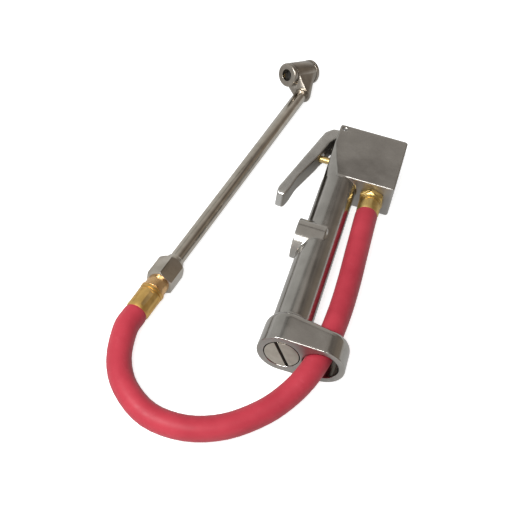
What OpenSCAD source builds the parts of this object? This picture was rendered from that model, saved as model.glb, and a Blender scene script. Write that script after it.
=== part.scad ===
// Portable tire inflator: a cast handle with a squeeze valve and a piston gauge
// seen through a round side window, a whip hose held in a loop at the foot, and
// a long wand with a two-mouth chuck. The tool lies on its side.
// Origin: centre of the air inlet's mouth on the head's end face.
// +Y points out of the inlet and lies along the handle, +X points from the
// handle to the hose, +Z is up. All lengths are in millimetres.

/* [Handle] */
// Diameter of the round grip
handle_d = 25.4; // [24:0.1:27]
// Length from the foot's face to the head's end face
handle_len = 203.5; // [190:0.5:225]
// Distance from the grip's axis to the hose port's axis
port_offset = 24.5; // [24:0.5:28]
// Diameter of the gauge bore
bore_d = 18; // [16:0.1:18.4]

/* [Head] */
// Length of the head block along the handle
head_len = 51.5; // [48:0.5:60]
// Thickness of the head block
head_t = 26.4; // [26:0.1:30]
// Distance from the grip's axis to the lever side of the head
head_left = 12; // [11.5:0.1:12.5]
// Distance from the port's axis to the outer side of the head
head_right = 13.8; // [12:0.1:18]
// Radius of the head's upright corners
head_corner_r = 1.8; // [0.5:0.1:3]
// Widening of the round shoulder for each millimetre along the handle
shoulder_slope = 0.152; // [0.1:0.002:0.2]

/* [Foot] */
// Radius of the foot's round end under the grip
foot_r = 16; // [15:0.1:18]
// Radius of the foot's round end round the hose loop
loop_end_r = 15.6; // [14.8:0.1:16]
// Narrowing of the foot towards the head
foot_draft = 0.5; // [0:0.1:1]
// Height of the foot under the grip
foot_h = 24; // [20:0.5:28]
// How much lower the foot is round the hose loop
foot_fall = 3.8; // [0:0.1:5]
// Rounding of the foot's upper edge
foot_round = 5.5; // [2:0.1:6]
// Diameter of the hose loop's hole
loop_d = 22.8; // [20:0.1:23.6]
// Diameter of the end plug
plug_d = 22; // [19:0.1:22.6]
// Width of the end plug's screwdriver slot
plug_slot_w = 2.2; // [1.6:0.1:3]
// Angle of the slot from upright
plug_slot_angle = 27; // [0:1:90]

/* [Window] */
// Diameter of the round window boss
boss_d = 27.6; // [27:0.1:29]
// Distance from the foot's face to the window's centre
window_from_foot = 95.6; // [80:0.2:110]
// How far the boss reaches from the grip's axis on the lever side
boss_reach = 17; // [16:0.1:19]
// Diameter of the lens
lens_d = 22; // [18:0.1:22.4]
// Diameter of the sight hole behind the lens
sight_d = 17; // [14:0.1:17]

/* [Gauge] */
// Travel of the gauge bar at full pressure
gauge_travel = 36; // [20:1:40]
// Diameter of the graduated bar
bar_d = 12.4; // [10:0.1:13]
// Wire thickness of the gauge spring
gauge_wire = 1.2; // [0.8:0.1:1.6]
// Turns of the gauge spring
gauge_turns = 11; // [8:1:14]

/* [Lever] */
// Length of the lever from its hinge pin to its tip
lever_len = 75; // [70:0.1:84]
// Distance from the hinge pin out to the lever's back near its tip
lever_reach = 31; // [29:0.1:34]
// Width of the lever
lever_w = 14.8; // [10:0.1:15.6]
// Diameter of the hinge pin
lever_pin_d = 3.2; // [2:0.1:4]
// Radius of the lever's knuckle round the pin
knuckle_r = 4; // [3.4:0.1:4.2]

/* [Valve] */
// Distance from the head's end face to the valve's axis
valve_from_end = 27.5; // [26:0.1:29]
// Diameter of the brass plunger
plunger_d = 4.9; // [3.6:0.1:5]
// Diameter of the valve seat's hole
seat_d = 6; // [5:0.1:7]
// Diameter of the valve chamber
chamber_d = 10; // [9.6:0.1:10.6]
// Diameter of the gland's bore
gland_d = 9; // [8.6:0.1:9.4]

/* [Inlet] */
// Diameter of the threaded inlet hole
inlet_d = 11.2; // [10:0.1:14]
// Depth of the threaded inlet hole
inlet_depth = 14; // [10:0.5:15]

/* [Hose] */
// Outer diameter of the hose
hose_d = 15.6; // [12:0.1:15.8]
// Bore of the brass fittings
fitting_bore_d = 5; // [3:0.1:6]
// Width across flats of the hose nipple's hexagon
nipple_af = 15.9; // [14:0.1:17]
// Turn of the nipple's hexagon from a corner at the top
nipple_roll = 8; // [0:1:30]
// Outer diameter of the crimped ferrules
ferrule_d = 15.8; // [15:0.1:17]
// Length of the ferrule at the head
head_ferrule_len = 11.5; // [8:0.5:16]
// Length of the ferrule at the wand
wand_ferrule_len = 18.5; // [14:0.5:24]

/* [Wand] */
// Turn of the wand away from the handle's direction
wand_angle = 9.9; // [0:0.1:20]
// Width across flats of the wand's nut
nut_af = 17.5; // [16:0.1:20]
// Length of the nut's hexagon
nut_len = 18; // [14:0.5:24]
// Length of the nut's round neck
nut_neck = 4.5; // [3:0.1:8]
// Outer diameter of the wand's tube
tube_d = 10; // [8:0.1:11]
// Bore of the wand's tube
tube_bore_d = 6.4; // [4:0.1:7]
// Length of tube between the nut and the chuck
tube_len = 200.5; // [120:0.5:230]

/* [Chuck] */
// Outer diameter of the chuck's barrel
barrel_d = 18.2; // [16:0.1:20]
// Length of the chuck's barrel with both rings
barrel_len = 28.5; // [26:0.5:42]
// Angle between the barrel and the wand
barrel_angle = 29; // [25:1:45]
// Roll of the chuck about the wand
chuck_roll = 54; // [0:1:60]
// Diameter of the mouths that take a tyre valve
mouth_d = 9; // [8.2:0.1:9.6]
// Depth of each mouth down to its seal
mouth_depth = 6; // [5:0.5:8]
// Diameter of the chuck's stem round the tube
stem_d = 14; // [12.4:0.1:16]

/* [Hidden] */
$fn = 64;
eps = 0.02;

cast_color = [0.58, 0.57, 0.55];
brass_color = [0.71, 0.59, 0.36];
nickel_color = [0.66, 0.63, 0.58];
rubber_color = [0.12, 0.12, 0.12];
steel_color = [0.6, 0.6, 0.62];
hose_color = [0.79, 0.24, 0.3];

// clearances
run_gap = 0.3;
thread_gap = 0.1;
seat_gap = 0.05;

// handle and head
hx = -port_offset;
handle_r = handle_d / 2;
bore_r = bore_d / 2;
foot_y = -handle_len;
loop_chamfer = 0.4;
plug_gap = 0.55;
head_y = -head_len;
head_x0 = hx - head_left;
head_x1 = head_right;
window_y = foot_y + window_from_foot;
table_z = -foot_r;

// gauge, from the head's end of the bore to the foot
bore_top = head_y - 5;
plug_head_t = 7.2;
plug_seal_wire = 1.8;
counterbore_h = plug_head_t + plug_seal_wire + 0.2;
cup_h = 2.6;
piston_h = 5;
cup_y = bore_top - 0.4;
piston_y = cup_y - cup_h;
bar_y = piston_y - piston_h;
bar_low_y = window_y - sight_d / 2 - 1.5;
spigot_h = 5;
spring_low_y = foot_y + counterbore_h + spigot_h;
spring_r = bore_r - 2.4;
collar_h = 2;
stop_r = 3.4;
stop_y = bar_low_y - collar_h - gauge_travel - 0.3;

// window
boss_r = boss_d / 2;
boss_back = 4;
window_x = hx - boss_reach;
ring_t = 1.3;
lens_t = 2.4;
gasket_t = 1;
lens_seat_x = window_x + ring_t + lens_t + gasket_t;
lens_dome = 1.2;

// lever
pivot_x = head_x0 + 0.95 * knuckle_r;
pivot_y = -1.05 * knuckle_r;
slot_w = lever_w + 0.6;
slot_r = knuckle_r + 0.6;
slot_len = 3.65 * knuckle_r;

// valve, along X from the lever side
valve_y = -valve_from_end;
seat_x = head_x0 + 22.5;
seat_t = 2;
chamber_end_x = head_x1 - 8.6;
gland_h = 5.8;
stem_seal_w = 1.8;
stem_r = plunger_d / 2;
stem_core_r = 0.7 * stem_r;
plunger_tip_x = pivot_x - 3 * knuckle_r;
poppet_t = 2;
poppet_guide = 5;
seal_t = 1.8;
valve_wire = 0.8;
cap_r = 6.9;
cap_sink = 0.3;

// ports
screen_d = 9;
screen_t = 1.2;
passage_d = 6;
outlet_d = 11.2;
outlet_depth = 10;
nipple_shank = 9;
nipple_hex_h = 5;
barb_r = 3.6;
neck_r = 5.6;

// hose and wand
hose_r = hose_d / 2;
crimp_bore_r = hose_r - 0.6;
crimped_r = crimp_bore_r + 0.1;
hose_swell = 4;
hose_y0 = head_y - nipple_hex_h - 0.6;
coupling_y = wand_ferrule_len + 0.6;
nut_y = coupling_y + 8.9;
nut_end = nut_y + nut_len;
thread_r = 5.6;
thread_len = 11;
tube_y = nut_y + thread_len + 1;
stem_y = nut_end + nut_neck + tube_len;
stem_in = 8;

// the wand lies on its nut's lowest corner and on the chuck's stem
nut_r = nut_af / sqrt(3);
wand_tilt = asin((nut_r - stem_d / 2) / (stem_y - nut_end));
wand_x = -119;
wand_y = -201.5;
wand_z = table_z + nut_r + nut_end * sin(wand_tilt);

// chuck, in the plane of its barrel and the wand
barrel_r = barrel_d / 2;
barrel_mid_y = 14.3;
barrel_mid_h = 11.9;
ring_h = 4;
ring_lip = 0.3;
core_y = barrel_len / 2 - ring_h;
seal_h = 3;
seal_y = barrel_len / 2 - mouth_depth;
pocket_r = mouth_d / 2 + 1.2;
duct_r = 2.5;
pin_y = seal_y - seal_h - 3;

// hose route: head port, down beside the grip, through the loop and round on the table
hose_lie_z = table_z + hose_r + 0.3;
hose_points = [
    [0, -75, 0], [1, -105, 0], [2, -135, 0], [1.8, -162.4, 1], [-0.5, -191, 1.5],
    [-4.9, -211.3, 1], [-12.3, -227, -2.6], [-24, -242.5, -6.3], [-42.5, -258.5, hose_lie_z],
    [-64, -267.4, hose_lie_z], [-87, -266.4, hose_lie_z], [-106, -253.7, hose_lie_z],
    [-117, -236, hose_lie_z], [-120.8, -216, wand_z]];
hose_end_dir = [sin(wand_angle) * cos(wand_tilt), cos(wand_angle) * cos(wand_tilt),
                -sin(wand_tilt)];
wand_base = [wand_x, wand_y, wand_z];
hose_route = concat([[0, hose_y0, 0], [0, hose_y0 - head_ferrule_len, 0]], hose_points,
                    [for (y = [-hose_swell, 0, wand_ferrule_len]) wand_base + y * hose_end_dir]);

// ---- helpers ----

module y_cyl(r, y0, y1, x = 0, z = 0) {
    translate([x, y0, z]) rotate([-90, 0, 0]) cylinder(r = r, h = y1 - y0);
}

module x_cyl(r, x0, x1, y = 0, z = 0) {
    translate([x0, y, z]) rotate([0, 90, 0]) cylinder(r = r, h = x1 - x0);
}

module y_cone(r0, r1, y0, y1, x = 0, z = 0) {
    translate([x, y0, z]) rotate([-90, 0, 0]) cylinder(r1 = r0, r2 = r1, h = y1 - y0);
}

module x_cone(r0, r1, x0, x1, y = 0, z = 0) {
    translate([x0, y, z]) rotate([0, 90, 0]) cylinder(r1 = r0, r2 = r1, h = x1 - x0);
}

module z_cyl(r, h, x, y) {
    translate([x, y, -h / 2]) cylinder(r = r, h = h);
}

module box(x0, x1, y0, y1, z0, z1) {
    translate([x0, y0, z0]) cube([x1 - x0, y1 - y0, z1 - z0]);
}

// ring along Y
module y_ring(r, bore, y0, y1, x = 0, z = 0) {
    difference() {
        y_cyl(r, y0, y1, x, z);
        y_cyl(bore, y0 - 1, y1 + 1, x, z);
    }
}

// ring along X
module x_ring(r, bore, x0, x1, y = 0, z = 0) {
    difference() {
        x_cyl(r, x0, x1, y, z);
        x_cyl(bore, x0 - 1, x1 + 1, y, z);
    }
}

// hexagonal bar along Y, turned by roll from a corner at the top, with chamfered ends
module y_hex(af, y0, y1, roll = 0) {
    corner_r = af / sqrt(3);
    chamfer = 1.4 * (corner_r - af / 2);
    intersection() {
        translate([0, y0, 0]) rotate([0, 30 - roll, 0]) rotate([-90, 0, 0])
            cylinder(r = corner_r, h = y1 - y0, $fn = 6);
        union() {
            y_cone(corner_r + 0.1 - chamfer, corner_r + 0.1, y0, y0 + chamfer / 2);
            y_cyl(corner_r + 0.1, y0 + chamfer / 2, y1 - chamfer);
            y_cone(corner_r + 0.1, corner_r + 0.1 - chamfer, y1 - chamfer, y1);
        }
    }
}

function unit(v) = v / norm(v);

// point on the smooth curve between p[i] and p[i + 1]
function curve_point(p, i, t) =
    let (a = p[max(i - 1, 0)], b = p[i], c = p[i + 1], d = p[min(i + 2, len(p) - 1)])
    0.5 * (2 * b + (c - a) * t + (2 * a - 5 * b + 4 * c - d) * t * t
        + (3 * b - a - 3 * c + d) * t * t * t);

function curve(p, steps) = concat(
    [for (i = [0 : len(p) - 2]) for (k = [0 : steps - 1]) curve_point(p, i, k / steps)],
    [p[len(p) - 1]]);

function tangent(c, i) = unit(c[min(i + 1, len(c) - 1)] - c[max(i - 1, 0)]);

// round tube swept along a mostly level route, with a radius for each of its rings
module swept_tube(c, r, sides) {
    n = len(c);
    points = [for (i = [0 : n - 1])
        let (t = tangent(c, i), s = unit(cross(t, [0, 0, 1])), u = cross(s, t))
        for (k = [0 : sides - 1])
            c[i] + r[i] * (cos(360 * k / sides) * s + sin(360 * k / sides) * u)];
    sides_faces = [for (i = [0 : n - 2]) for (k = [0 : sides - 1]) each
        let (a = i * sides + k, b = i * sides + (k + 1) % sides)
        [[a, b, b + sides], [a, b + sides, a + sides]]];
    caps = [for (k = [1 : sides - 2]) each
        [[0, k + 1, k], [(n - 1) * sides, (n - 1) * sides + k, (n - 1) * sides + k + 1]]];
    polyhedron(points = points, faces = concat(sides_faces, caps));
}

// coil spring along Z from 0 to length
module coil(r, wire, length, turns) {
    steps = turns * 14;
    sides = 6;
    rise = length - wire;
    points = [for (i = [0 : steps])
        let (a = 360 * turns * i / steps, z = wire / 2 + rise * i / steps)
        for (k = [0 : sides - 1])
            let (b = 360 * k / sides, q = r + wire / 2 * cos(b))
            [q * cos(a), q * sin(a), z + wire / 2 * sin(b)]];
    sides_faces = [for (i = [0 : steps - 1]) for (k = [0 : sides - 1]) each
        let (a = i * sides + k, b = i * sides + (k + 1) % sides)
        [[a, b, b + sides], [a, b + sides, a + sides]]];
    caps = [for (k = [1 : sides - 2]) each
        [[0, k + 1, k], [steps * sides, steps * sides + k, steps * sides + k + 1]]];
    polyhedron(points = points, faces = concat(sides_faces, caps));
}

// corner of an outline rounded with radius r
function corner_arc(a, b, c, r, n = 6) =
    let (u = unit(a - b), v = unit(c - b),
         half = acos(u * v) / 2, reach = r / tan(half),
         mid = b + unit(u + v) * r / sin(half),
         p = b + u * reach - mid, q = b + v * reach - mid,
         a0 = atan2(p[1], p[0]), turn = (atan2(q[1], q[0]) - a0 + 540) % 360 - 180)
    [for (i = [0 : n]) mid + r * [cos(a0 + turn * i / n), sin(a0 + turn * i / n)]];

// outline from points [x, y, corner radius]
function rounded_outline(p) = [for (i = [0 : len(p) - 1]) each
    let (a = p[(i + len(p) - 1) % len(p)], b = p[i], c = p[(i + 1) % len(p)])
    b[2] == 0 ? [[b[0], b[1]]]
        : corner_arc([a[0], a[1]], [b[0], b[1]], [c[0], c[1]], b[2])];

// ---- cast housing ----

module rounded_box_xy(x0, x1, y0, y1, z, r) {
    outline = rounded_outline([[x0, y0, r], [x1, y0, r], [x1, y1, r], [x0, y1, r]]);
    translate([0, 0, -z]) linear_extrude(height = 2 * z) polygon(outline);
}

// square head whose lever side grows out of the round grip
module head_block() {
    shoulder_r = handle_r + shoulder_slope * head_len;
    intersection() {
        rounded_box_xy(head_x0, head_x1, head_y, 0, head_t / 2, head_corner_r);
        union() {
            y_cone(handle_r, shoulder_r, head_y, 0, hx);
            box(hx, head_x1 + 1, head_y - 1, 1, -head_t, head_t);
        }
    }
}

// round end of the foot, with a rounded upper edge
module foot_end(x, r, h) {
    top_r = r - foot_draft;
    translate([x, foot_y, 0]) rotate([-90, 0, 0]) rotate_extrude($fn = 48)
        polygon(concat([[0, 0], [r, 0]], corner_arc([r, 0], [top_r, h], [0, h], foot_round, 5),
                       [[0, h]]));
}

// oblong foot, whose upper edge falls towards the loop
module foot_block() {
    hull() {
        foot_end(hx, foot_r, foot_h);
        foot_end(0, loop_end_r, foot_h - foot_fall);
    }
}

module window_boss() {
    x_cyl(boss_r, window_x, hx + boss_back - 1.5, window_y);
    x_cone(boss_r, boss_r - 1.5, hx + boss_back - 1.5, hx + boss_back, window_y);
}

module lever_slot() {
    z_cyl(slot_r, slot_w, pivot_x, pivot_y);
    box(head_x0 - 2, pivot_x, -slot_len, 1, -slot_w / 2, slot_w / 2);
    box(pivot_x - 1, pivot_x + slot_r, pivot_y, 1, -slot_w / 2, slot_w / 2);
}

module gauge_cavity() {
    y_cyl(bore_r, foot_y + 1, bore_top, hx);
    y_cyl(plug_d / 2 + plug_gap, foot_y - 1, foot_y + counterbore_h, hx);
    y_cyl(1.6, bore_top - 1, valve_y, hx);
    x_cyl(lens_d / 2 + run_gap, window_x - 1, lens_seat_x, window_y);
    x_cyl(sight_d / 2, lens_seat_x - 1, hx - 3, window_y);
}

module valve_cavity() {
    x_cyl(gland_d / 2, head_x0 - 1, seat_x - seat_t, valve_y);
    x_cyl(seat_d / 2, seat_x - seat_t - 1, seat_x + 1, valve_y);
    x_cyl(chamber_d / 2, seat_x, chamber_end_x + 1, valve_y);
    x_cyl(cap_r + thread_gap, chamber_end_x, head_x1 + 1, valve_y);
}

module ports() {
    y_cyl(inlet_d / 2, -inlet_depth, 1);
    y_cyl(screen_d / 2, -inlet_depth - screen_t - 0.6, -inlet_depth + 1);
    y_cyl(passage_d / 2, valve_y, -inlet_depth);
    y_cyl(outlet_d / 2, head_y - 1, head_y + outlet_depth);
    // slanted passage from the outlet to the low side of the seat
    low = [hx + 2.5, valve_y - 3];
    high = [0, head_y + outlet_depth - 1.5];
    run = norm(high - low);
    translate([low[0], low[1], 0])
        rotate([0, 0, atan2(high[1] - low[1], high[0] - low[0])])
            x_cyl(1.75, 0, run);
}

module housing() {
    color(cast_color) difference() {
        union() {
            y_cyl(handle_r, foot_y + 1, head_y + 1, hx);
            head_block();
            foot_block();
            window_boss();
        }
        y_cyl(loop_d / 2, foot_y - 1, foot_y + foot_h + 1);
        y_cone(loop_d / 2 + loop_chamfer, loop_d / 2, foot_y - eps, foot_y + loop_chamfer);
        lever_slot();
        z_cyl(lever_pin_d / 2, head_t + 2, pivot_x, pivot_y);
        gauge_cavity();
        valve_cavity();
        ports();
    }
}

module inlet_screen() {
    color(brass_color) difference() {
        y_cyl(screen_d / 2 - seat_gap, -inlet_depth - screen_t - 0.6, -inlet_depth - 0.6);
        for (a = [0 : 60 : 300]) rotate([0, a, 0]) y_cyl(0.7, -inlet_depth - 3, -inlet_depth, 2.4);
        y_cyl(0.7, -inlet_depth - 3, -inlet_depth);
    }
}

// ---- lever ----

// hub point in knuckle radii, and arm point in the lever's reach and length
function hub(x, y, r) = knuckle_r * [x, y, r];
function arm(x, y, r) = [-x * lever_reach, -y * lever_len, r * lever_len];

lever_outline = rounded_outline([
    hub(1, 1, 0.99), hub(-2.05, 1, 1), hub(-3.4, -0.5, 1.25), arm(0.665, 0.384, 0.525),
    arm(1, 0.92, 0.184), arm(0.985, 1, 0.04), arm(0.81, 1, 0.035), arm(0.735, 0.895, 0.157),
    arm(0.665, 0.72, 0.394), arm(0.38, 0.378, 0.262), hub(-1.85, -2.85, 1),
    hub(-1.15, -1.6, 0.75), hub(-0.375, -1, 0.5), hub(1, -1, 0.99)]);

// thicker lower part of the lever's root
lever_heel = knuckle_r * [[-1, -1.5], [-1.55, -2.8], [-2.2, -4.9], [-2.85, -6.4],
                          [-3.6, -6.4], [-3, -2]];

module lever() {
    tip_y = pivot_y - lever_len;
    tip_r = 0.22 * lever_w;
    back_x = pivot_x - lever_reach - 2;
    color(cast_color) difference() {
        union() {
            intersection() {
                translate([pivot_x, pivot_y, -lever_w / 2]) linear_extrude(height = lever_w)
                    polygon(lever_outline);
                union() {
                    box(back_x, pivot_x + 2 * knuckle_r, tip_y + tip_r, 2 * knuckle_r,
                        -lever_w, lever_w);
                    box(back_x, pivot_x, tip_y - 1, tip_y + tip_r + 1,
                        -lever_w / 2 + tip_r, lever_w / 2 - tip_r);
                    for (s = [-1, 1])
                        x_cyl(tip_r, back_x, pivot_x, tip_y + tip_r, s * (lever_w / 2 - tip_r));
                }
            }
            translate([pivot_x, pivot_y, -lever_w / 2]) linear_extrude(height = 0.6 * lever_w)
                polygon(lever_heel);
        }
        z_cyl(lever_pin_d / 2 + 0.05, lever_w + 2, pivot_x, pivot_y);
        x_cyl(stem_r + 1.2, plunger_tip_x - 0.1, pivot_x, valve_y + 0.9);
    }
}

module lever_pin() {
    color(steel_color) z_cyl(lever_pin_d / 2 - 0.01, head_t - 0.4, pivot_x, pivot_y);
}

// ---- valve ----

module valve_stem() {
    poppet_x = seat_x + seal_t;
    color(brass_color) {
        translate([plunger_tip_x + stem_r * 0.6, valve_y, 0]) rotate([0, 90, 0])
            intersection() {
                translate([0, 0, stem_r * 0.8]) sphere(r = stem_r * 1.4);
                translate([0, 0, -stem_r]) cylinder(r = stem_r, h = seat_x - 4 - plunger_tip_x);
            }
        x_cyl(stem_r, plunger_tip_x + stem_r, seat_x - 3, valve_y);
        x_cyl(stem_core_r, seat_x - 3 - eps, poppet_x + eps, valve_y);
        x_cyl(chamber_d / 2 - 0.8, poppet_x, poppet_x + poppet_t, valve_y);
        x_cyl(stem_core_r, poppet_x + poppet_t - eps, poppet_x + poppet_t + poppet_guide, valve_y);
    }
}

module valve_seal() {
    color(rubber_color)
        x_ring(chamber_d / 2 - 0.6, stem_core_r, seat_x, seat_x + seal_t, valve_y);
}

module stem_gland() {
    color(brass_color) difference() {
        x_ring(gland_d / 2 - thread_gap, plunger_d / 2 + 0.1, head_x0 + 0.1,
               head_x0 + gland_h, valve_y);
        box(head_x0 - 1, head_x0 + 1.2, valve_y - 0.6, valve_y + 0.6, -gland_d, gland_d);
    }
}

module stem_seal() {
    color(rubber_color)
        x_ring(gland_d / 2 - seat_gap, plunger_d / 2 + 0.1, head_x0 + gland_h + seat_gap,
               head_x0 + gland_h + stem_seal_w, valve_y);
}

module valve_spring() {
    start = seat_x + seal_t + poppet_t;
    color(steel_color) translate([start, valve_y, 0]) rotate([0, 90, 0])
        coil(3.1, valve_wire, chamber_end_x - start, 5);
}

module valve_cap() {
    color(nickel_color) difference() {
        x_cyl(cap_r, chamber_end_x, head_x1 - cap_sink, valve_y);
        translate([head_x1 - cap_sink - 4, valve_y, 0]) rotate([0, 90, 0])
            cylinder(r = 6 / sqrt(3), h = 5, $fn = 6);
    }
}

// ---- gauge ----

module gauge_piston() {
    color(nickel_color) {
        y_cyl(bore_r - run_gap, bar_y, piston_y, hx);
        y_cyl(2, piston_y - eps, cup_y - 0.8, hx);
    }
}

module piston_cup() {
    color(rubber_color) difference() {
        y_cyl(bore_r - 0.15, piston_y, cup_y, hx);
        y_cyl(2, piston_y - 1, cup_y + 1, hx);
        y_cone(bore_r - 3, bore_r - 1, piston_y + 1, cup_y + eps, hx);
    }
}

module gauge_bar() {
    color("white") {
        y_cyl(bar_d / 2, bar_low_y, bar_y, hx);
        y_cyl(bore_r - run_gap, bar_low_y - collar_h, bar_low_y + eps, hx);
    }
}

module gauge_spring() {
    top = bar_low_y - collar_h;
    color(steel_color) translate([hx, spring_low_y, 0]) rotate([-90, 0, 0])
        coil(spring_r, gauge_wire, top - spring_low_y, gauge_turns);
}

module gauge_lens() {
    x0 = window_x + ring_t;
    dome_r = lens_d / 2 - 2;
    ball_r = (dome_r * dome_r + lens_dome * lens_dome) / (2 * lens_dome);
    color([0.9, 0.95, 0.95, 0.5]) union() {
        x_cyl(lens_d / 2, x0, x0 + lens_t, window_y);
        intersection() {
            translate([x0 + ball_r - lens_dome, window_y, 0]) sphere(r = ball_r, $fn = 96);
            x_cyl(dome_r + 1, x0 - 3, x0 + eps, window_y);
        }
    }
}

module lens_gasket() {
    x0 = window_x + ring_t + lens_t;
    color(rubber_color) x_ring(lens_d / 2, sight_d / 2, x0, x0 + gasket_t, window_y);
}

module lens_ring() {
    color(nickel_color)
        x_ring(lens_d / 2 + run_gap - seat_gap, lens_d / 2 - 1.9, window_x, window_x + ring_t, window_y);
}

module end_plug() {
    y1 = foot_y + 0.3;
    slot_depth = 2.6;
    color(nickel_color) difference() {
        union() {
            y_cyl(plug_d / 2, y1, foot_y + plug_head_t, hx);
            y_cyl(bore_r - run_gap, foot_y + plug_head_t - eps, spring_low_y, hx);
            y_cyl(stop_r, spring_low_y - 1, stop_y, hx);
        }
        translate([hx, y1, 0]) rotate([0, -plug_slot_angle, 0])
            box(-plug_slot_w / 2, plug_slot_w / 2, -1, slot_depth, -plug_d, plug_d);
    }
}

module plug_seal() {
    r = bore_r + plug_seal_wire / 2 - 0.2;
    color(rubber_color) translate([hx, foot_y + plug_head_t + plug_seal_wire / 2, 0])
        rotate([-90, 0, 0]) rotate_extrude()
            translate([r, 0]) circle(plug_seal_wire / 2, $fn = 32);
}

// ---- hose and its fittings ----

module hose_nipple() {
    hex_y = head_y - nipple_hex_h;
    color(brass_color) difference() {
        union() {
            y_cyl(outlet_d / 2 - thread_gap, hex_y + 1, head_y + nipple_shank);
            mirror([0, 1, 0]) y_hex(nipple_af, -head_y, -hex_y, nipple_roll);
            y_cyl(neck_r, hose_y0, hex_y + 1);
            y_cyl(barb_r, hose_y0 - head_ferrule_len + 1, hose_y0 + 1);
        }
        y_cyl(fitting_bore_d / 2, hose_y0 - head_ferrule_len, head_y + nipple_shank + 1);
    }
}

// crimped sleeve along Y, from its fitting's end at y0 to its hose's end at y1
module ferrule(y0, y1) {
    r = ferrule_d / 2;
    dir = sign(y1 - y0);
    len = abs(y1 - y0);
    translate([0, y0, 0]) mirror([0, dir < 0 ? 1 : 0, 0]) difference() {
        union() {
            y_cyl(r, 0, 2.2);
            y_cyl(r - 0.5, 2, 3.2);
            y_cyl(r, 3, len - 2);
            y_cone(r, r - 0.5, len - 2, len);
        }
        y_cyl(crimp_bore_r, 1, len + 1);
        y_cyl(neck_r + seat_gap, -1, 2);
        for (a = [22.5 : 45 : 337.5]) rotate([0, a, 0])
            box(r - 0.25, r + 1, 4.2, len - 2.6, -1.4, 1.4);
    }
}

module head_ferrule() {
    color(brass_color) ferrule(head_y - nipple_hex_h - 0.05, hose_y0 - head_ferrule_len);
}

module hose() {
    line = curve(hose_route, 2);
    ring_r = [for (i = [1 : len(line)]) min(i, len(line) + 1 - i) > 3 ? hose_r : crimped_r];
    color(hose_color) swept_tube(line, ring_r, 12);
}

module on_wand() {
    translate(wand_base) rotate([-wand_tilt, 0, -wand_angle]) children();
}

module wand_ferrule() {
    color(brass_color) on_wand() ferrule(coupling_y - 0.05, 0);
}

module hose_coupling() {
    color([0.72, 0.5, 0.33]) on_wand() difference() {
        union() {
            y_cyl(neck_r, wand_ferrule_len, coupling_y + 1);
            y_cyl(ferrule_d / 2 + 0.3, coupling_y, coupling_y + 1.6);
            y_cyl(ferrule_d / 2 - 0.5, coupling_y + 1, nut_y);
            y_cyl(thread_r, nut_y - 1, nut_y + thread_len);
            y_cyl(barb_r, 2, wand_ferrule_len + 1);
        }
        y_cyl(fitting_bore_d / 2, 1, nut_y + thread_len + 1);
    }
}

module wand_nut() {
    color(nickel_color) on_wand() difference() {
        union() {
            y_hex(nut_af, nut_y + seat_gap, nut_end);
            y_cone(nut_af / 2 - 1.2, tube_d / 2 + 0.9, nut_end - 1, nut_end + nut_neck);
        }
        y_cyl(thread_r + thread_gap, nut_y - 1, nut_y + thread_len + 0.5);
        y_cyl(tube_bore_d / 2, nut_y + thread_len, tube_y + 1);
        y_cyl(tube_d / 2 + seat_gap, tube_y, nut_end + nut_neck + 1);
    }
}

module wand_tube() {
    color(nickel_color) on_wand() y_ring(tube_d / 2, tube_bore_d / 2, tube_y, stem_y + stem_in);
}

// ---- two-mouth chuck ----

// frame with its origin at the stem's mouth, +Y along the wand, the barrel in its YZ plane
module on_stem() {
    on_wand() translate([0, stem_y, 0]) rotate([0, -chuck_roll, 0]) children();
}

// frame with its origin at the barrel's centre and +Y out of the front mouth
module on_barrel() {
    on_stem() translate([0, barrel_mid_y, barrel_mid_h]) rotate([180 - barrel_angle, 0, 0])
        children();
}

module both_ends() {
    for (s = [0, 1]) mirror([0, s, 0]) children();
}

module chuck_body() {
    duct_angle = atan2(barrel_mid_h, barrel_mid_y - stem_in + 1);
    color(nickel_color) difference() {
        union() {
            hull() {
                on_stem() y_cyl(stem_d / 2, 0, 2, $fn = 32);
                on_barrel() y_cyl(barrel_r - 0.7, 1 - core_y, core_y - 1, $fn = 32);
            }
            on_barrel() y_cyl(barrel_r, -core_y, core_y);
        }
        on_stem() y_cyl(tube_d / 2 + seat_gap, -1, stem_in);
        on_stem() translate([0, stem_in - 1, 0]) rotate([duct_angle, 0, 0])
            y_cyl(1.8, 0, barrel_mid_h);
        on_barrel() y_cyl(duct_r, -core_y, core_y);
        on_barrel() both_ends() y_cyl(pocket_r, seal_y - seal_h, core_y + 1);
    }
}

module chuck_ring(r) {
    color(nickel_color) difference() {
        union() {
            y_cyl(pocket_r - seat_gap, seal_y, core_y + 1);
            y_cyl(barrel_r - 0.5, core_y, core_y + 0.7);
            y_cyl(r, core_y + 0.6, barrel_len / 2 - 0.8);
            y_cone(r, r - 0.8, barrel_len / 2 - 0.8, barrel_len / 2);
        }
        y_cyl(mouth_d / 2, seal_y - 1, barrel_len / 2 + 1);
    }
}

module front_chuck_ring() {
    on_barrel() chuck_ring(barrel_r);
}

module rear_chuck_ring() {
    on_barrel() mirror([0, 1, 0]) chuck_ring(barrel_r + ring_lip);
}

module chuck_seals() {
    color(rubber_color) on_barrel() both_ends()
        y_ring(pocket_r - seat_gap, 2.2, seal_y - seal_h, seal_y);
}

module chuck_pins() {
    color(brass_color) on_barrel() both_ends() {
        y_cyl(1, pin_y, seal_y - 0.3);
        y_cyl(duct_r - seat_gap, pin_y, pin_y + 1.6);
    }
}

housing();
inlet_screen();
lever();
lever_pin();
valve_stem();
valve_seal();
stem_gland();
stem_seal();
valve_spring();
valve_cap();
gauge_piston();
piston_cup();
gauge_bar();
gauge_spring();
gauge_lens();
lens_gasket();
lens_ring();
end_plug();
plug_seal();
hose_nipple();
head_ferrule();
hose();
wand_ferrule();
hose_coupling();
wand_nut();
wand_tube();
chuck_body();
front_chuck_ring();
rear_chuck_ring();
chuck_seals();
chuck_pins();
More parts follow.
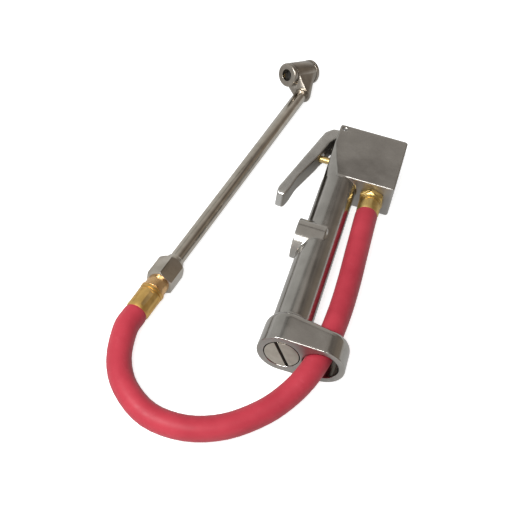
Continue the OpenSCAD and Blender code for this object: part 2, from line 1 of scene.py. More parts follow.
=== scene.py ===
import math

import bmesh
import bpy
from mathutils import Euler, Matrix, Vector


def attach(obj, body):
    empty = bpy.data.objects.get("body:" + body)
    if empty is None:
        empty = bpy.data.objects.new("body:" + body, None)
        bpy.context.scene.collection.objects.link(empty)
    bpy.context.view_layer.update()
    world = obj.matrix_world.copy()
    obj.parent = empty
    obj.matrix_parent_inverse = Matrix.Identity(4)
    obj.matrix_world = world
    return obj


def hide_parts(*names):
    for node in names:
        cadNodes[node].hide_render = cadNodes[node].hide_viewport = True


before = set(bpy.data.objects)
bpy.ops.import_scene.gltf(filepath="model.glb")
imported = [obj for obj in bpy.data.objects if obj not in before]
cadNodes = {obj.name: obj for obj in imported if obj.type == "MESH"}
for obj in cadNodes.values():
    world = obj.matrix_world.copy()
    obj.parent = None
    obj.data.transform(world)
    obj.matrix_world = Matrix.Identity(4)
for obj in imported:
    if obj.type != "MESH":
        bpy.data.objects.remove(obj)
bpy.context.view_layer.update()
mm = 0.001
print("inflator: frame loaded with", len(cadNodes), "nodes")


# camera

cameraSettings = {
    "placeMm": (8.341, -569.782, 510.871),
    "turnDegrees": (40.463, -6.273, 16.356),
    "lens": 72.29, "sensorWidth": 36, "nearMetres": 0.02, "farMetres": 30,
}


def makeCamera(settings):
    data = bpy.data.cameras.new("viewCamera")
    data.lens = settings["lens"]
    data.sensor_width = settings["sensorWidth"]
    data.clip_start = settings["nearMetres"]
    data.clip_end = settings["farMetres"]
    camera = bpy.data.objects.new("viewCamera", data)
    camera.location = Vector(settings["placeMm"]) * mm
    camera.rotation_euler = Euler([math.radians(a) for a in settings["turnDegrees"]])
    bpy.context.scene.collection.objects.link(camera)
    bpy.context.scene.camera = camera


makeCamera(cameraSettings)
print("inflator: camera placed")


# helpers for materials

nodeSpacing = 190
# where a colour mix has its factor and its two colours, and its result
mixInputs = (0, 6, 7)
mixResult = 2


def newMaterial(name):
    material = bpy.data.materials.new(name)
    material.use_nodes = True
    tree = material.node_tree
    return material, tree, tree.nodes["Principled BSDF"].inputs


# nodes stand in a row to the left of the shader, the newest one furthest away
def addNode(tree, kind, **settings):
    node = tree.nodes.new(kind)
    node.location.x = -nodeSpacing * len(tree.nodes)
    for key, value in settings.items():
        setattr(node, key, value)
    return node


# links another node's output to an input, or sets the input to a plain value
def feed(socket, value):
    if isinstance(value, bpy.types.NodeSocket):
        socket.id_data.links.new(value, socket)
    elif socket.type == "RGBA":
        socket.default_value = (*value, 1)
    else:
        socket.default_value = value


def addNoise(tree, coordinates, scale, detail, rough=0.5):
    noise = addNode(tree, "ShaderNodeTexNoise")
    feed(noise.inputs["Vector"], coordinates)
    feed(noise.inputs["Scale"], scale)
    feed(noise.inputs["Detail"], detail)
    feed(noise.inputs["Roughness"], rough)
    return noise.outputs["Fac"]


def addRamp(tree, factor, stops):
    ramp = addNode(tree, "ShaderNodeValToRGB")
    elements = ramp.color_ramp.elements
    while len(elements) < len(stops):
        elements.new(0.5)
    for element, (position, colour) in zip(elements, stops):
        element.position = position
        element.color = (*colour, 1)
    feed(ramp.inputs["Fac"], factor)
    return ramp.outputs["Color"]


def addRange(tree, factor, low, high, fromLow=0.3, fromHigh=0.7):
    spread = addNode(tree, "ShaderNodeMapRange")
    feed(spread.inputs["Value"], factor)
    feed(spread.inputs["From Min"], fromLow)
    feed(spread.inputs["From Max"], fromHigh)
    feed(spread.inputs["To Min"], low)
    feed(spread.inputs["To Max"], high)
    return spread.outputs["Result"]


def addMath(tree, operation, *values):
    node = addNode(tree, "ShaderNodeMath", operation=operation)
    for socket, value in zip(node.inputs, values):
        feed(socket, value)
    return node.outputs["Value"]


def addBump(tree, height, strength, distance, under=None):
    bump = addNode(tree, "ShaderNodeBump")
    feed(bump.inputs["Height"], height)
    feed(bump.inputs["Strength"], strength)
    feed(bump.inputs["Distance"], distance)
    if under is not None:
        feed(bump.inputs["Normal"], under)
    return bump.outputs["Normal"]


def addMixColour(tree, factor, first, second, blend="MIX"):
    mix = addNode(tree, "ShaderNodeMix", data_type="RGBA", blend_type=blend)
    for number, value in zip(mixInputs, (factor, first, second)):
        feed(mix.inputs[number], value)
    return mix.outputs[mixResult]


# metals

# what all metals share: the noise levels where mottling, specks and wear begin and end,
# how fine the noise is, and how deep its bumps are in metres
metalSkin = {
    "mottle": (0.32, 0.68), "specks": (0.55, 0.8), "wear": (0.52, 0.62),
    "broadDetail": 3, "fineDetail": 4, "fineRough": 0.6, "fineDepth": 0.0001, "waveDepth": 0.0006,
}


# the side of a casting that was left duller, by the way its faces point; its colour there is
# multiplied by a painted shade tint
def addDullSideWithPaintedShade(tree, dullSideAndShade, colour, polish):
    facing = addNode(tree, "ShaderNodeVectorMath", operation="DOT_PRODUCT")
    feed(facing.inputs[0], addNode(tree, "ShaderNodeTexCoord").outputs["Normal"])
    feed(facing.inputs[1], dullSideAndShade["side"])
    share = addRange(tree, facing.outputs["Value"], 0, 1, *dullSideAndShade["facing"])
    paintedShadeTint = addMixColour(tree, share, (1, 1, 1), dullSideAndShade["paintedShadeTint"])
    colour = addMixColour(tree, 1, colour, paintedShadeTint, "MULTIPLY")
    return colour, addMath(tree, "MULTIPLY_ADD", share, dullSideAndShade["rough"], polish)


# a metal with mottled colour, uneven polish and a fine skin, worn brighter on its edges, and duller
# with painted shade on one side where its finish gives one
def makeMetal(name, finish):
    material, tree, shader = newMaterial(name)
    skin = metalSkin
    coordinates = addNode(tree, "ShaderNodeTexCoord").outputs["Object"]
    broad = addNoise(tree, coordinates, finish["broadScale"], skin["broadDetail"])
    fine = addNoise(tree, coordinates, finish["fineScale"], skin["fineDetail"], skin["fineRough"])
    colour = addRamp(tree, broad, list(zip(skin["mottle"], (finish["dark"], finish["light"]))))
    speck = addRange(tree, fine, 0, finish["speckle"], *skin["specks"])
    colour = addMixColour(tree, speck, colour, finish["speckColour"])
    if "edge" in finish:
        pointed = addNode(tree, "ShaderNodeNewGeometry").outputs["Pointiness"]
        worn = addRange(tree, pointed, 0, finish["edge"], *skin["wear"])
        colour = addMixColour(tree, worn, colour, finish["edgeColour"])
    polish = addRange(tree, broad, *finish["rough"])
    if "dullSideAndShade" in finish:
        colour, polish = addDullSideWithPaintedShade(tree, finish["dullSideAndShade"], colour, polish)
    normal = addBump(tree, fine, finish["bump"], skin["fineDepth"])
    if "waveBump" in finish:
        normal = addBump(tree, broad, finish["waveBump"], skin["waveDepth"], normal)
    feed(shader["Base Color"], colour)
    feed(shader["Roughness"], polish)
    feed(shader["Normal"], normal)
    feed(shader["Metallic"], finish["metallic"])
    return material


castFinish = {
    "dark": (0.35, 0.335, 0.315), "light": (0.45, 0.435, 0.41), "speckColour": (0.24, 0.22, 0.20),
    "speckle": 0.3, "broadScale": 55, "fineScale": 1500, "rough": (0.13, 0.2),
    "bump": 0.1, "waveBump": 0.08, "metallic": 1, "edge": 0.35, "edgeColour": (0.68, 0.66, 0.62),
    "dullSideAndShade": {"side": (0, -1, 0), "facing": (0.75, 0.95), "rough": 0.25, "paintedShadeTint": (1, 1, 1)},
}
leverFinish = {
    "dark": (0.51, 0.505, 0.485), "light": (0.62, 0.615, 0.595), "speckColour": (0.37, 0.36, 0.34),
    "speckle": 0.3, "broadScale": 80, "fineScale": 1500, "rough": (0.2, 0.3),
    "bump": 0.16, "waveBump": 0.15, "metallic": 1, "edge": 0.4, "edgeColour": (0.75, 0.74, 0.71),
    # the lever's inner face, toward the grip, is rougher and carries painted shade: its colour is
    # darkened there
    "dullSideAndShade": {"side": (0.92, -0.39, 0), "facing": (0.5, 0.85), "rough": 0.2,
            "paintedShadeTint": (0.55, 0.52, 0.48)},
}
nickelFinish = {
    "dark": (0.43, 0.39, 0.335), "light": (0.54, 0.5, 0.44), "speckColour": (0.31, 0.27, 0.215),
    "speckle": 0.2, "broadScale": 120, "fineScale": 900, "rough": (0.12, 0.2),
    "bump": 0.06, "waveBump": 0.05, "metallic": 1, "edge": 0.3, "edgeColour": (0.82, 0.8, 0.75),
}
chuckFinish = {
    "dark": (0.29, 0.26, 0.225), "light": (0.375, 0.34, 0.295), "speckColour": (0.2, 0.175, 0.14),
    "speckle": 0.25, "broadScale": 130, "fineScale": 900, "rough": (0.25, 0.35),
    "bump": 0.08, "waveBump": 0.06, "metallic": 1, "edge": 0.3, "edgeColour": (0.72, 0.69, 0.63),
}
brassFinish = {
    "dark": (0.55, 0.38, 0.125), "light": (0.70, 0.51, 0.2), "speckColour": (0.34, 0.21, 0.07),
    "speckle": 0.3, "broadScale": 150, "fineScale": 1100, "rough": (0.32, 0.45),
    "bump": 0.12, "waveBump": 0.08, "metallic": 1, "edge": 0.3, "edgeColour": (0.9, 0.76, 0.46),
}
ferruleFinish = {
    "dark": (0.60, 0.38, 0.115), "light": (0.75, 0.49, 0.165), "speckColour": (0.4, 0.22, 0.06),
    "speckle": 0.3, "broadScale": 170, "fineScale": 1100, "rough": (0.36, 0.5),
    "bump": 0.12, "waveBump": 0.12, "metallic": 1, "edge": 0.3, "edgeColour": (0.92, 0.74, 0.42),
}
copperBrassFinish = {
    "dark": (0.66, 0.40, 0.17), "light": (0.80, 0.54, 0.28), "speckColour": (0.4, 0.2, 0.08),
    "speckle": 0.3, "broadScale": 150, "fineScale": 1100, "rough": (0.22, 0.34),
    "bump": 0.08, "waveBump": 0.05, "metallic": 1, "edge": 0.3, "edgeColour": (0.92, 0.74, 0.52),
}
# painted shade: a near-black colour for the inside of the plug's slot
slotShadeFinish = {
    "dark": (0.07, 0.062, 0.052), "light": (0.13, 0.115, 0.095), "speckColour": (0.04, 0.035, 0.03),
    "speckle": 0.3, "broadScale": 300, "fineScale": 1500, "rough": (0.45, 0.6),
    "bump": 0.2, "metallic": 0.6,
}
steelFinish = {
    "dark": (0.36, 0.36, 0.37), "light": (0.52, 0.52, 0.53), "speckColour": (0.2, 0.2, 0.2),
    "speckle": 0.2, "broadScale": 200, "fineScale": 1400, "rough": (0.2, 0.32),
    "bump": 0.06, "metallic": 1,
}

castAluminium = makeMetal("castAluminium", castFinish)
leverAluminium = makeMetal("leverAluminium", leverFinish)
nickelPlate = makeMetal("nickelPlate", nickelFinish)
chuckPlate = makeMetal("chuckPlate", chuckFinish)
paintedSlotShade = makeMetal("paintedSlotShade", slotShadeFinish)
fittingBrass = makeMetal("fittingBrass", brassFinish)
ferruleBrass = makeMetal("ferruleBrass", ferruleFinish)
couplingBrass = makeMetal("couplingBrass", copperBrassFinish)
springSteel = makeMetal("springSteel", steelFinish)


# hose rubber

hoseFinish = {
    "dark": (0.34, 0.022, 0.038), "light": (0.45, 0.038, 0.058), "mottle": (0.3, 0.7),
    "bloom": (0.48, 0.062, 0.09), "scuff": 0.3, "scuffs": (0.58, 0.72), "rough": (0.42, 0.6),
    "broadScale": 38, "broadDetail": 4, "broadBump": 0.12, "broadDepth": 0.0008,
    "fineScale": 1300, "fineDetail": 3, "fineRough": 0.6, "fineBump": 0.2, "fineDepth": 0.00012,
    "scuffScale": 210, "scuffDetail": 5, "scuffRough": 0.7, "gloss": 0.28, "sheen": 0.05,
}


# soft red rubber with a dull bloom, small scuffs and a faintly uneven skin
def makeHoseRubber(name, finish):
    material, tree, shader = newMaterial(name)
    coordinates = addNode(tree, "ShaderNodeTexCoord").outputs["Object"]
    broad = addNoise(tree, coordinates, finish["broadScale"], finish["broadDetail"])
    fine = addNoise(tree, coordinates, finish["fineScale"], finish["fineDetail"],
                    finish["fineRough"])
    scuff = addNoise(tree, coordinates, finish["scuffScale"], finish["scuffDetail"],
                     finish["scuffRough"])
    colour = addRamp(tree, broad, list(zip(finish["mottle"], (finish["dark"], finish["light"]))))
    mark = addRange(tree, scuff, 0, finish["scuff"], *finish["scuffs"])
    normal = addBump(tree, fine, finish["fineBump"], finish["fineDepth"])
    normal = addBump(tree, broad, finish["broadBump"], finish["broadDepth"], normal)
    feed(shader["Base Color"], addMixColour(tree, mark, colour, finish["bloom"]))
    feed(shader["Roughness"], addRange(tree, scuff, *finish["rough"]))
    feed(shader["Normal"], normal)
    feed(shader["Specular IOR Level"], finish["gloss"])
    feed(shader["Sheen Weight"], finish["sheen"])
    return material


hoseRubber = makeHoseRubber("hoseRubber", hoseFinish)


# seals, gauge plastic and ink

grainSkin = {"mottle": (0.3, 0.7), "detail": 3, "depth": 0.0001}
sealFinish = {
    "dark": (0.010, 0.010, 0.010), "light": (0.030, 0.029, 0.028),
    "grainScale": 1200, "bump": 0.2, "rough": 0.55,
}
gaugeFinish = {
    "dark": (0.76, 0.75, 0.70), "light": (0.84, 0.83, 0.79),
    "grainScale": 420, "bump": 0.08, "rough": 0.38,
}
inkFinish = {
    "dark": (0.012, 0.012, 0.013), "light": (0.03, 0.03, 0.032),
    "grainScale": 420, "bump": 0.08, "rough": 0.38,
}


# a plain moulded or printed surface with a fine grain
def makeMoulded(name, finish):
    material, tree, shader = newMaterial(name)
    skin = grainSkin
    coordinates = addNode(tree, "ShaderNodeTexCoord").outputs["Object"]
    grain = addNoise(tree, coordinates, finish["grainScale"], skin["detail"])
    stops = list(zip(skin["mottle"], (finish["dark"], finish["light"])))
    feed(shader["Base Color"], addRamp(tree, grain, stops))
    feed(shader["Normal"], addBump(tree, grain, finish["bump"], skin["depth"]))
    feed(shader["Roughness"], finish["rough"])
    return material


sealRubber = makeMoulded("sealRubber", sealFinish)
gaugeWhite = makeMoulded("gaugeWhite", gaugeFinish)
scaleInk = makeMoulded("scaleInk", inkFinish)


# lens

lensFinish = {
    "colour": (0.95, 0.97, 0.97), "bending": 1.49, "rough": (0.02, 0.09), "scuffs": (0.5, 0.75),
    "scuffScale": 260, "scuffDetail": 5, "scuffRough": 0.7,
}


def makeLens(name, finish):
    material, tree, shader = newMaterial(name)
    coordinates = addNode(tree, "ShaderNodeTexCoord").outputs["Object"]
    scuff = addNoise(tree, coordinates, finish["scuffScale"], finish["scuffDetail"],
                     finish["scuffRough"])
    feed(shader["Roughness"], addRange(tree, scuff, *finish["rough"], *finish["scuffs"]))
    feed(shader["Base Color"], finish["colour"])
    feed(shader["Transmission Weight"], 1)
    feed(shader["IOR"], finish["bending"])
    return material


lensClear = makeLens("lensClear", lensFinish)
print("inflator: materials made")


# helpers for pieces

meshSettings = {"mergeMm": 0.002, "flatDegrees": 0.6}


def linkPiece(name, mesh, material):
    piece = bpy.data.objects.new(name, mesh)
    bpy.context.scene.collection.objects.link(piece)
    mesh.materials.clear()
    mesh.materials.append(material)
    return piece


# a CAD node's mesh with its loose triangles joined
def joinedCopy(nodeName):
    bm = bmesh.new()
    bm.from_mesh(cadNodes[nodeName].data)
    bmesh.ops.remove_doubles(bm, verts=bm.verts, dist=meshSettings["mergeMm"] * mm)
    return bm


def meshFrom(bm, name, sharpDegrees=None):
    mesh = bpy.data.meshes.new(name)
    for face in bm.faces:
        face.smooth = True
    bm.to_mesh(mesh)
    bm.free()
    if sharpDegrees is not None:
        mesh.set_sharp_from_angle(angle=math.radians(sharpDegrees))
    return mesh


# keeps what a piece's modifiers make as its plain mesh
def settle(piece):
    depsgraph = bpy.context.evaluated_depsgraph_get()
    mesh = bpy.data.meshes.new_from_object(piece.evaluated_get(depsgraph))
    piece.modifiers.clear()
    old = piece.data
    piece.data = mesh
    bpy.data.meshes.remove(old)


def dress(piece, body, nodeName):
    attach(piece, body)
    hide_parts(nodeName)


# whip hose

hoseSettings = {
    "diameter": 15.6, "crimpedDiameter": 14.6, "roundSteps": 8,
    "route": [
        (0, -57.1, 0), (0, -68.6, 0), (0, -75, 0), (1, -105, 0), (2, -135, 0), (1.8, -162.4, 1),
        (-0.5, -191, 1.5), (-4.9, -211.3, 1), (-12.3, -227, -2.6), (-24, -242.5, -6.3),
        (-42.5, -258.5, -7.9), (-64, -267.4, -7.9), (-87, -266.4, -7.9), (-106, -253.7, -7.9),
        (-117, -236, -7.9)],
    "lastTurn": (-120.8, -216),
    "wandPlace": (-119, -201.5), "wandAngle": 9.9, "ferruleLength": 18.5, "swellLength": 4,
    "nutFlats": 17.5, "stemDiameter": 14, "nutEnd": 46, "stemStart": 251, "tableZ": -16,
    "steps": 4,
}


# where the wand starts and which way it points, lying on its nut and on the chuck's stem
def wandLine(settings):
    nutRadius = settings["nutFlats"] / math.sqrt(3)
    tilt = math.asin((nutRadius - settings["stemDiameter"] / 2)
                     / (settings["stemStart"] - settings["nutEnd"]))
    turn = math.radians(settings["wandAngle"])
    height = settings["tableZ"] + nutRadius + settings["nutEnd"] * math.sin(tilt)
    start = Vector((*settings["wandPlace"], height))
    way = Vector((math.sin(turn) * math.cos(tilt), math.cos(turn) * math.cos(tilt),
                  -math.sin(tilt)))
    return start, way


# a point between points i and i + 1, on a smooth curve through all of them
def curvePoint(points, i, t):
    a, b = points[max(i - 1, 0)], points[i]
    c, d = points[i + 1], points[min(i + 2, len(points) - 1)]
    return 0.5 * (2 * b + (c - a) * t + (2 * a - 5 * b + 4 * c - d) * t * t
                  + (3 * b - a - 3 * c + d) * t * t * t)


def hoseLine(settings):
    start, way = wandLine(settings)
    route = [Vector(p) for p in settings["route"]]
    route.append(Vector((*settings["lastTurn"], start.z)))
    route += [start + way * y for y in (-settings["swellLength"], 0, settings["ferruleLength"])]
    steps = settings["steps"]
    line = [curvePoint(route, i, k / steps) for i in range(len(route) - 1) for k in range(steps)]
    return [p * mm for p in line + [route[-1]]]


def makeHose(settings):
    line = hoseLine(settings)
    curve = bpy.data.curves.new("whipHose", "CURVE")
    curve.dimensions = "3D"
    curve.bevel_depth = settings["diameter"] / 2 * mm
    curve.bevel_resolution = settings["roundSteps"]
    curve.use_fill_caps = True
    spline = curve.splines.new("POLY")
    spline.points.add(len(line) - 1)
    crimped = settings["crimpedDiameter"] / settings["diameter"]
    for i, (point, place) in enumerate(zip(spline.points, line)):
        point.co = (*place, 1)
        inFerrule = min(i, len(line) - 1 - i) <= settings["steps"]
        point.radius = crimped if inFerrule else 1
    spline.use_smooth = True
    hose = bpy.data.objects.new("whipHose", curve)
    bpy.context.scene.collection.objects.link(hose)
    curve.materials.append(hoseRubber)
    length = sum((b - a).length for a, b in zip(line, line[1:]))
    print("inflator: hose is", round(length / mm, 1), "mm long")
    return hose, line, length


whipHose, hosePath, hoseLength = makeHose(hoseSettings)
dress(whipHose, "handle", "hose")


# casting and lever

castingSettings = {
    "voxelMm": 0.42, "softenSteps": 9, "softenShare": 0.5, "keepShare": 0.36,
    "crease": {"faceMm": 13.2, "outline": [(-22, -51.5), (-22, -34), (-32.2, -34), (-27.6, -51.5)]},
}
leverSettings = {"voxelMm": 0.4, "softenSteps": 26, "softenShare": 0.5, "keepShare": 0.7}


# fills the low wedge between the round grip and the lower corner of the head's two faces
def addCrease(bm, crease):
    corners = [bm.verts.new(Vector((x, y, -crease["faceMm"])) * mm) for x, y in crease["outline"]]
    bottom = bm.faces.new(corners)
    made = bmesh.ops.extrude_face_region(bm, geom=[bottom])["geom"]
    raised = [item for item in made if isinstance(item, bmesh.types.BMVert)]
    bmesh.ops.translate(bm, verts=raised, vec=(0, 0, 2 * crease["faceMm"] * mm))
    walls = {face for vert in raised + corners for face in vert.link_faces}
    bmesh.ops.recalc_face_normals(bm, faces=list(walls))


# a cast piece: every edge and inner corner is softened, as a mould leaves it
def castPiece(nodeName, pieceName, settings, material):
    bm = joinedCopy(nodeName)
    if "crease" in settings:
        addCrease(bm, settings["crease"])
    piece = linkPiece(pieceName, meshFrom(bm, pieceName), material)
    remesh = piece.modifiers.new("grain", "REMESH")
    remesh.mode = "VOXEL"
    remesh.voxel_size = settings["voxelMm"] * mm
    remesh.use_smooth_shade = True
    smooth = piece.modifiers.new("soften", "SMOOTH")
    smooth.factor = settings["softenShare"]
    smooth.iterations = settings["softenSteps"]
    thin = piece.modifiers.new("thin", "DECIMATE")
    thin.ratio = settings["keepShare"]
    settle(piece)
    for polygon in piece.data.polygons:
        polygon.use_smooth = True
    print("inflator:", pieceName, len(piece.data.polygons), "faces")
    return piece


castBody = castPiece("housing", "castBody", castingSettings, castAluminium)
dress(castBody, "handle", "housing")
squeezeLever = castPiece("lever", "squeezeLever", leverSettings, leverAluminium)
dress(squeezeLever, "lever", "lever")


# turned, milled and plated pieces

edgeSettings = {"segments": 3, "sharpDegrees": 30}


# a turned or milled piece with flat faces made whole and a small bevel on each sharp edge
def edgedPiece(nodeName, pieceName, bevelMm, material):
    bm = joinedCopy(nodeName)
    bmesh.ops.dissolve_limit(bm, angle_limit=math.radians(meshSettings["flatDegrees"]),
                             verts=bm.verts, edges=bm.edges)
    piece = linkPiece(pieceName, meshFrom(bm, pieceName), material)
    bevel = piece.modifiers.new("edges", "BEVEL")
    bevel.width = bevelMm * mm
    bevel.segments = edgeSettings["segments"]
    bevel.limit_method = "ANGLE"
    bevel.angle_limit = math.radians(edgeSettings["sharpDegrees"])
    bevel.harden_normals = True
    bevel.use_clamp_overlap = True
    print("inflator:", pieceName, len(piece.data.polygons), "faces")
    return piece


# each CAD node's piece, material slot, material and bevel in mm
edgedPieces = {
    "wand_nut": ("unionNut", "nickel", nickelPlate, 0.35),
    "wand_tube": ("wandTube", "nickel", nickelPlate, 0.2),
    "chuck_body": ("chuckBody", "nickel", chuckPlate, 0.5),
    "front_chuck_ring": ("frontChuckRing", "nickel", chuckPlate, 0.25),
    "rear_chuck_ring": ("rearChuckRing", "nickel", chuckPlate, 0.25),
    "end_plug": ("endPlug", "nickel", nickelPlate, 0.3),
    "valve_cap": ("valveCap", "nickel", nickelPlate, 0.3),
    "lens_ring": ("lensRing", "nickel", nickelPlate, 0.2),
    "hose_nipple": ("hoseNipple", "brass", fittingBrass, 0.25),
    "head_ferrule": ("headFerrule", "brass", fittingBrass, 0.12),
    "wand_ferrule": ("wandFerrule", "brass", ferruleBrass, 0.12),
    "hose_coupling": ("hoseCoupling", "copper_brass", couplingBrass, 0.25),
    "lever_pin": ("hingePin", "steel", springSteel, 0.3),
    "stem_gland": ("stemGland", "brass", fittingBrass, 0.2),
}
for nodeName, (pieceName, slotName, material, bevelMm) in edgedPieces.items():
    dress(edgedPiece(nodeName, pieceName, bevelMm, material), "handle", nodeName)

plugSlot = {
    "centreMm": (-24.5, -203.5, 0), "angle": 27, "halfWidthMm": 1.15, "reachMm": 10.9,
    "depthMm": (0.25, 4),
}


# painted shade darkens the walls and bottom of the plug's slot
def paintSlotShade(piece, settings):
    piece.data.materials.append(paintedSlotShade)
    slotShadeIndex = len(piece.data.materials) - 1
    turn = math.radians(settings["angle"])
    across = Vector((math.cos(turn), 0, math.sin(turn)))
    for polygon in piece.data.polygons:
        away = polygon.center / mm - Vector(settings["centreMm"])
        inside = abs(away.dot(across)) < settings["halfWidthMm"]
        deep = settings["depthMm"][0] < away.y < settings["depthMm"][1]
        if inside and deep and math.hypot(away.x, away.z) < settings["reachMm"]:
            polygon.material_index = slotShadeIndex


paintSlotShade(bpy.data.objects["endPlug"], plugSlot)


# small and inner pieces, which keep their CAD shape

keptNodes = {
    "inlet_screen": fittingBrass, "valve_stem": fittingBrass, "valve_seal": sealRubber,
    "stem_seal": sealRubber, "valve_spring": springSteel, "gauge_piston": nickelPlate,
    "piston_cup": sealRubber, "gauge_bar": gaugeWhite, "gauge_spring": springSteel,
    "gauge_lens": lensClear, "lens_gasket": sealRubber, "plug_seal": sealRubber,
    "chuck_seals": sealRubber, "chuck_pins": fittingBrass,
}
for nodeName, material in keptNodes.items():
    mesh = cadNodes[nodeName].data
    mesh.materials.clear()
    mesh.materials.append(material)
print("inflator: pieces made")


# gauge scale

scaleSettings = {
    "barRadius": 6.2, "barX": -24.5, "zeroY": -107.9, "numberPitch": 4.5, "numberStep": 20,
    "numbers": 9, "ticksPerNumber": 2, "textSize": 2.7, "textAt": 0.2, "tickFrom": -4.6,
    "shortTick": 2.2, "longTick": 3.6, "tickWidth": 0.22, "inkHeight": 0.04, "inkSink": 0.01,
    "cutWidth": 0.4, "cutReach": 1.3, "mergeMm": 0.001, "cutSnapMm": 0.0001, "sharpDegrees": 30,
}


def addTextFlat(bm, words, settings, height):
    curve = bpy.data.curves.new("scaleText", "FONT")
    curve.body = words
    curve.size = settings["textSize"]
    curve.align_x = "LEFT"
    curve.align_y = "CENTER"
    shown = bpy.data.objects.new("scaleText", curve)
    bpy.context.scene.collection.objects.link(shown)
    depsgraph = bpy.context.evaluated_depsgraph_get()
    mesh = bpy.data.meshes.new_from_object(shown.evaluated_get(depsgraph))
    mesh.transform(Matrix.Translation((settings["textAt"], height, 0)))
    bm.from_mesh(mesh)
    bpy.data.meshes.remove(mesh)
    bpy.data.objects.remove(shown)
    bpy.data.curves.remove(curve)


def addTick(bm, length, settings, height):
    made = bmesh.ops.create_grid(bm, x_segments=1, y_segments=1, size=0.5)["verts"]
    bmesh.ops.scale(bm, verts=made, vec=(length, settings["tickWidth"], 1))
    bmesh.ops.translate(bm, verts=made, vec=(settings["tickFrom"] + length / 2, height, 0))


# numbers and ticks, flat and in millimetres, with the zero at the origin
def drawScale(bm, settings):
    pitch = settings["numberPitch"]
    share = settings["ticksPerNumber"]
    for i in range(settings["numbers"]):
        addTextFlat(bm, str(i * settings["numberStep"]), settings, i * pitch)
    for i in range((settings["numbers"] - 1) * share + 1):
        length = settings["shortTick"] if i % share else settings["longTick"]
        addTick(bm, length, settings, i * pitch / share)
    bmesh.ops.remove_doubles(bm, verts=bm.verts, dist=settings["mergeMm"])
    bmesh.ops.triangulate(bm, faces=bm.faces)


# narrow strips let the flat marks bend round the bar
def cutStrips(bm, settings):
    reach = settings["barRadius"] * settings["cutReach"]
    for k in range(round(2 * reach / settings["cutWidth"]) + 1):
        geom = list(bm.verts) + list(bm.edges) + list(bm.faces)
        bmesh.ops.bisect_plane(bm, geom=geom, dist=settings["cutSnapMm"], plane_no=(1, 0, 0),
                               plane_co=(k * settings["cutWidth"] - reach, 0, 0))


# the scale is drawn flat, cut in strips, thickened and laid round the bar
def makeScale(settings):
    bm = bmesh.new()
    drawScale(bm, settings)
    cutStrips(bm, settings)
    faces = list(bm.faces)
    bmesh.ops.recalc_face_normals(bm, faces=faces)
    if faces[0].normal.z > 0:
        bmesh.ops.reverse_faces(bm, faces=faces)
    made = bmesh.ops.extrude_face_region(bm, geom=faces, use_keep_orig=True)["geom"]
    raised = [item for item in made if isinstance(item, bmesh.types.BMVert)]
    bmesh.ops.translate(bm, verts=raised, vec=(0, 0, settings["inkHeight"]))
    bmesh.ops.recalc_face_normals(bm, faces=bm.faces)
    for vert in bm.verts:
        angle = vert.co.x / settings["barRadius"]
        radius = settings["barRadius"] - settings["inkSink"] + vert.co.z
        vert.co = Vector((settings["barX"] - radius * math.cos(angle),
                          settings["zeroY"] + vert.co.y, radius * math.sin(angle))) * mm
    marks = linkPiece("scaleMarks", meshFrom(bm, "scaleMarks", settings["sharpDegrees"]), scaleInk)
    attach(marks, "gauge")
    print("inflator: gauge scale", len(marks.data.polygons), "faces")


makeScale(scaleSettings)


# floor

floorSettings = {
    "heightMm": -16.1, "reachMm": 3000, "colour": (0.82, 0.82, 0.815), "glow": 0.7,
    "mirroredColour": (0.2, 0.198, 0.19), "mirroredGlow": 0.42, "rough": 0.8, "gloss": 0.1,
}


# pale where it is seen, duller where a metal mirrors it, and dark to diffuse light
def makeFloor(settings):
    bm = bmesh.new()
    bmesh.ops.create_grid(bm, x_segments=1, y_segments=1, size=settings["reachMm"] * mm)
    bmesh.ops.translate(bm, verts=bm.verts, vec=(0, 0, settings["heightMm"] * mm))
    material, tree, shader = newMaterial("paleFloor")
    path = addNode(tree, "ShaderNodeLightPath").outputs
    colour = addMixColour(tree, path["Is Glossy Ray"], settings["colour"],
                          settings["mirroredColour"])
    seen = addMath(tree, "MAXIMUM", path["Is Camera Ray"], path["Is Transmission Ray"])
    level = addRange(tree, seen, settings["mirroredGlow"], settings["glow"], 0, 1)
    notDiffuse = addMath(tree, "SUBTRACT", 1, path["Is Diffuse Ray"])
    feed(shader["Base Color"], colour)
    feed(shader["Roughness"], settings["rough"])
    feed(shader["Specular IOR Level"], settings["gloss"])
    feed(shader["Emission Color"], (1, 1, 1))
    feed(shader["Emission Strength"], addMath(tree, "MULTIPLY", level, notDiffuse))
    floor = linkPiece("paleFloorPlane", meshFrom(bm, "paleFloorPlane"), material)


makeFloor(floorSettings)


# world

# the ceiling's stops run from left (-1) to right (1), and the band and horizon are heights
# on a sphere of radius 1: a darker band that the castings mirror, and a pale low sky
worldSettings = {
    "level": 0.32, "backdrop": (1, 1, 1), "lowSky": (0.85, 0.845, 0.83), "horizon": (0.04, 0.14),
    "ceiling": [(-0.8, (0.70, 0.70, 0.68)), (-0.3, (0.62, 0.615, 0.59)),
                (-0.18, (0.58, 0.56, 0.525)), (0.03, (0.60, 0.565, 0.53)),
                (0.2, (0.42, 0.385, 0.35)), (0.48, (0.23, 0.2, 0.175)),
                (0.68, (0.32, 0.27, 0.22)), (0.85, (0.32, 0.28, 0.24))],
    "bandRise": (0.672, 0.677), "bandFall": (0.742, 0.762), "bandColour": (0.4, 0.39, 0.385),
}


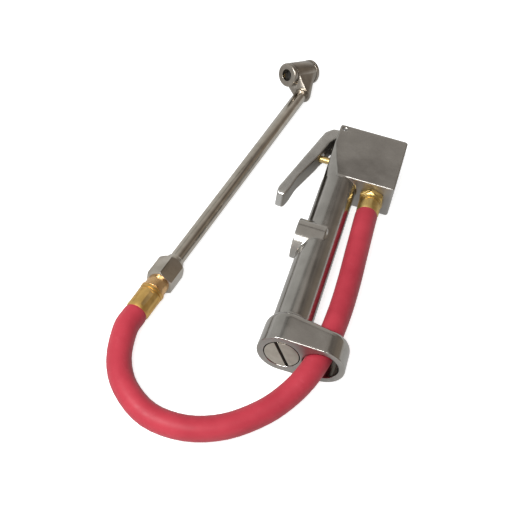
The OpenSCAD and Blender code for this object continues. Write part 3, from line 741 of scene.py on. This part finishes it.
# plain light for the object, a room for its metals to mirror, and white behind it
def makeWorld(settings):
    world = bpy.data.worlds.new("studioWorld")
    bpy.context.scene.world = world
    world.use_nodes = True
    tree = world.node_tree
    tree.nodes.clear()
    output = addNode(tree, "ShaderNodeOutputWorld")
    background = addNode(tree, "ShaderNodeBackground")
    path = addNode(tree, "ShaderNodeLightPath").outputs
    parts = addNode(tree, "ShaderNodeSeparateXYZ")
    feed(parts.inputs[0], addNode(tree, "ShaderNodeTexCoord").outputs["Generated"])
    sideways, upwards = parts.outputs["X"], parts.outputs["Z"]
    across = addRange(tree, sideways, 0, 1, -1, 1)
    ceiling = addRamp(tree, across, [((x + 1) / 2, colour) for x, colour in settings["ceiling"]])
    rise = addRange(tree, upwards, 0, 1, *settings["bandRise"])
    fall = addRange(tree, upwards, 1, 0, *settings["bandFall"])
    band = addMath(tree, "MULTIPLY", rise, fall)
    ceiling = addMixColour(tree, band, ceiling, settings["bandColour"], "MULTIPLY")
    height = addRange(tree, upwards, 0, 1, *settings["horizon"])
    room = addMixColour(tree, height, settings["lowSky"], ceiling)
    colour = addMixColour(tree, path["Is Glossy Ray"], (settings["level"],) * 3, room)
    for ray in ("Is Transmission Ray", "Is Camera Ray"):
        colour = addMixColour(tree, path[ray], colour, settings["backdrop"])
    feed(background.inputs["Color"], colour)
    feed(output.inputs["Surface"], background.outputs[0])


makeWorld(worldSettings)


# lamps

lampSettings = {
    "keyLamp": {"placeMm": (-620, -700, 860), "sizeMm": 320, "watts": 11},
    "frontLamp": {"placeMm": (-90, -760, 780), "sizeMm": 400, "watts": 4.5},
}
lampAimMm = (-40, -100, 0)


def makeLamp(name, settings):
    data = bpy.data.lights.new(name, "AREA")
    data.shape = "DISK"
    data.size = settings["sizeMm"] * mm
    data.energy = settings["watts"]
    lamp = bpy.data.objects.new(name, data)
    lamp.location = Vector(settings["placeMm"]) * mm
    aim = Vector(lampAimMm) * mm - lamp.location
    lamp.rotation_euler = aim.to_track_quat("-Z", "Y").to_euler()
    bpy.context.scene.collection.objects.link(lamp)


for lampName, settings in lampSettings.items():
    makeLamp(lampName, settings)
bpy.context.scene.view_settings.view_transform = "Standard"
print("inflator: studio made")
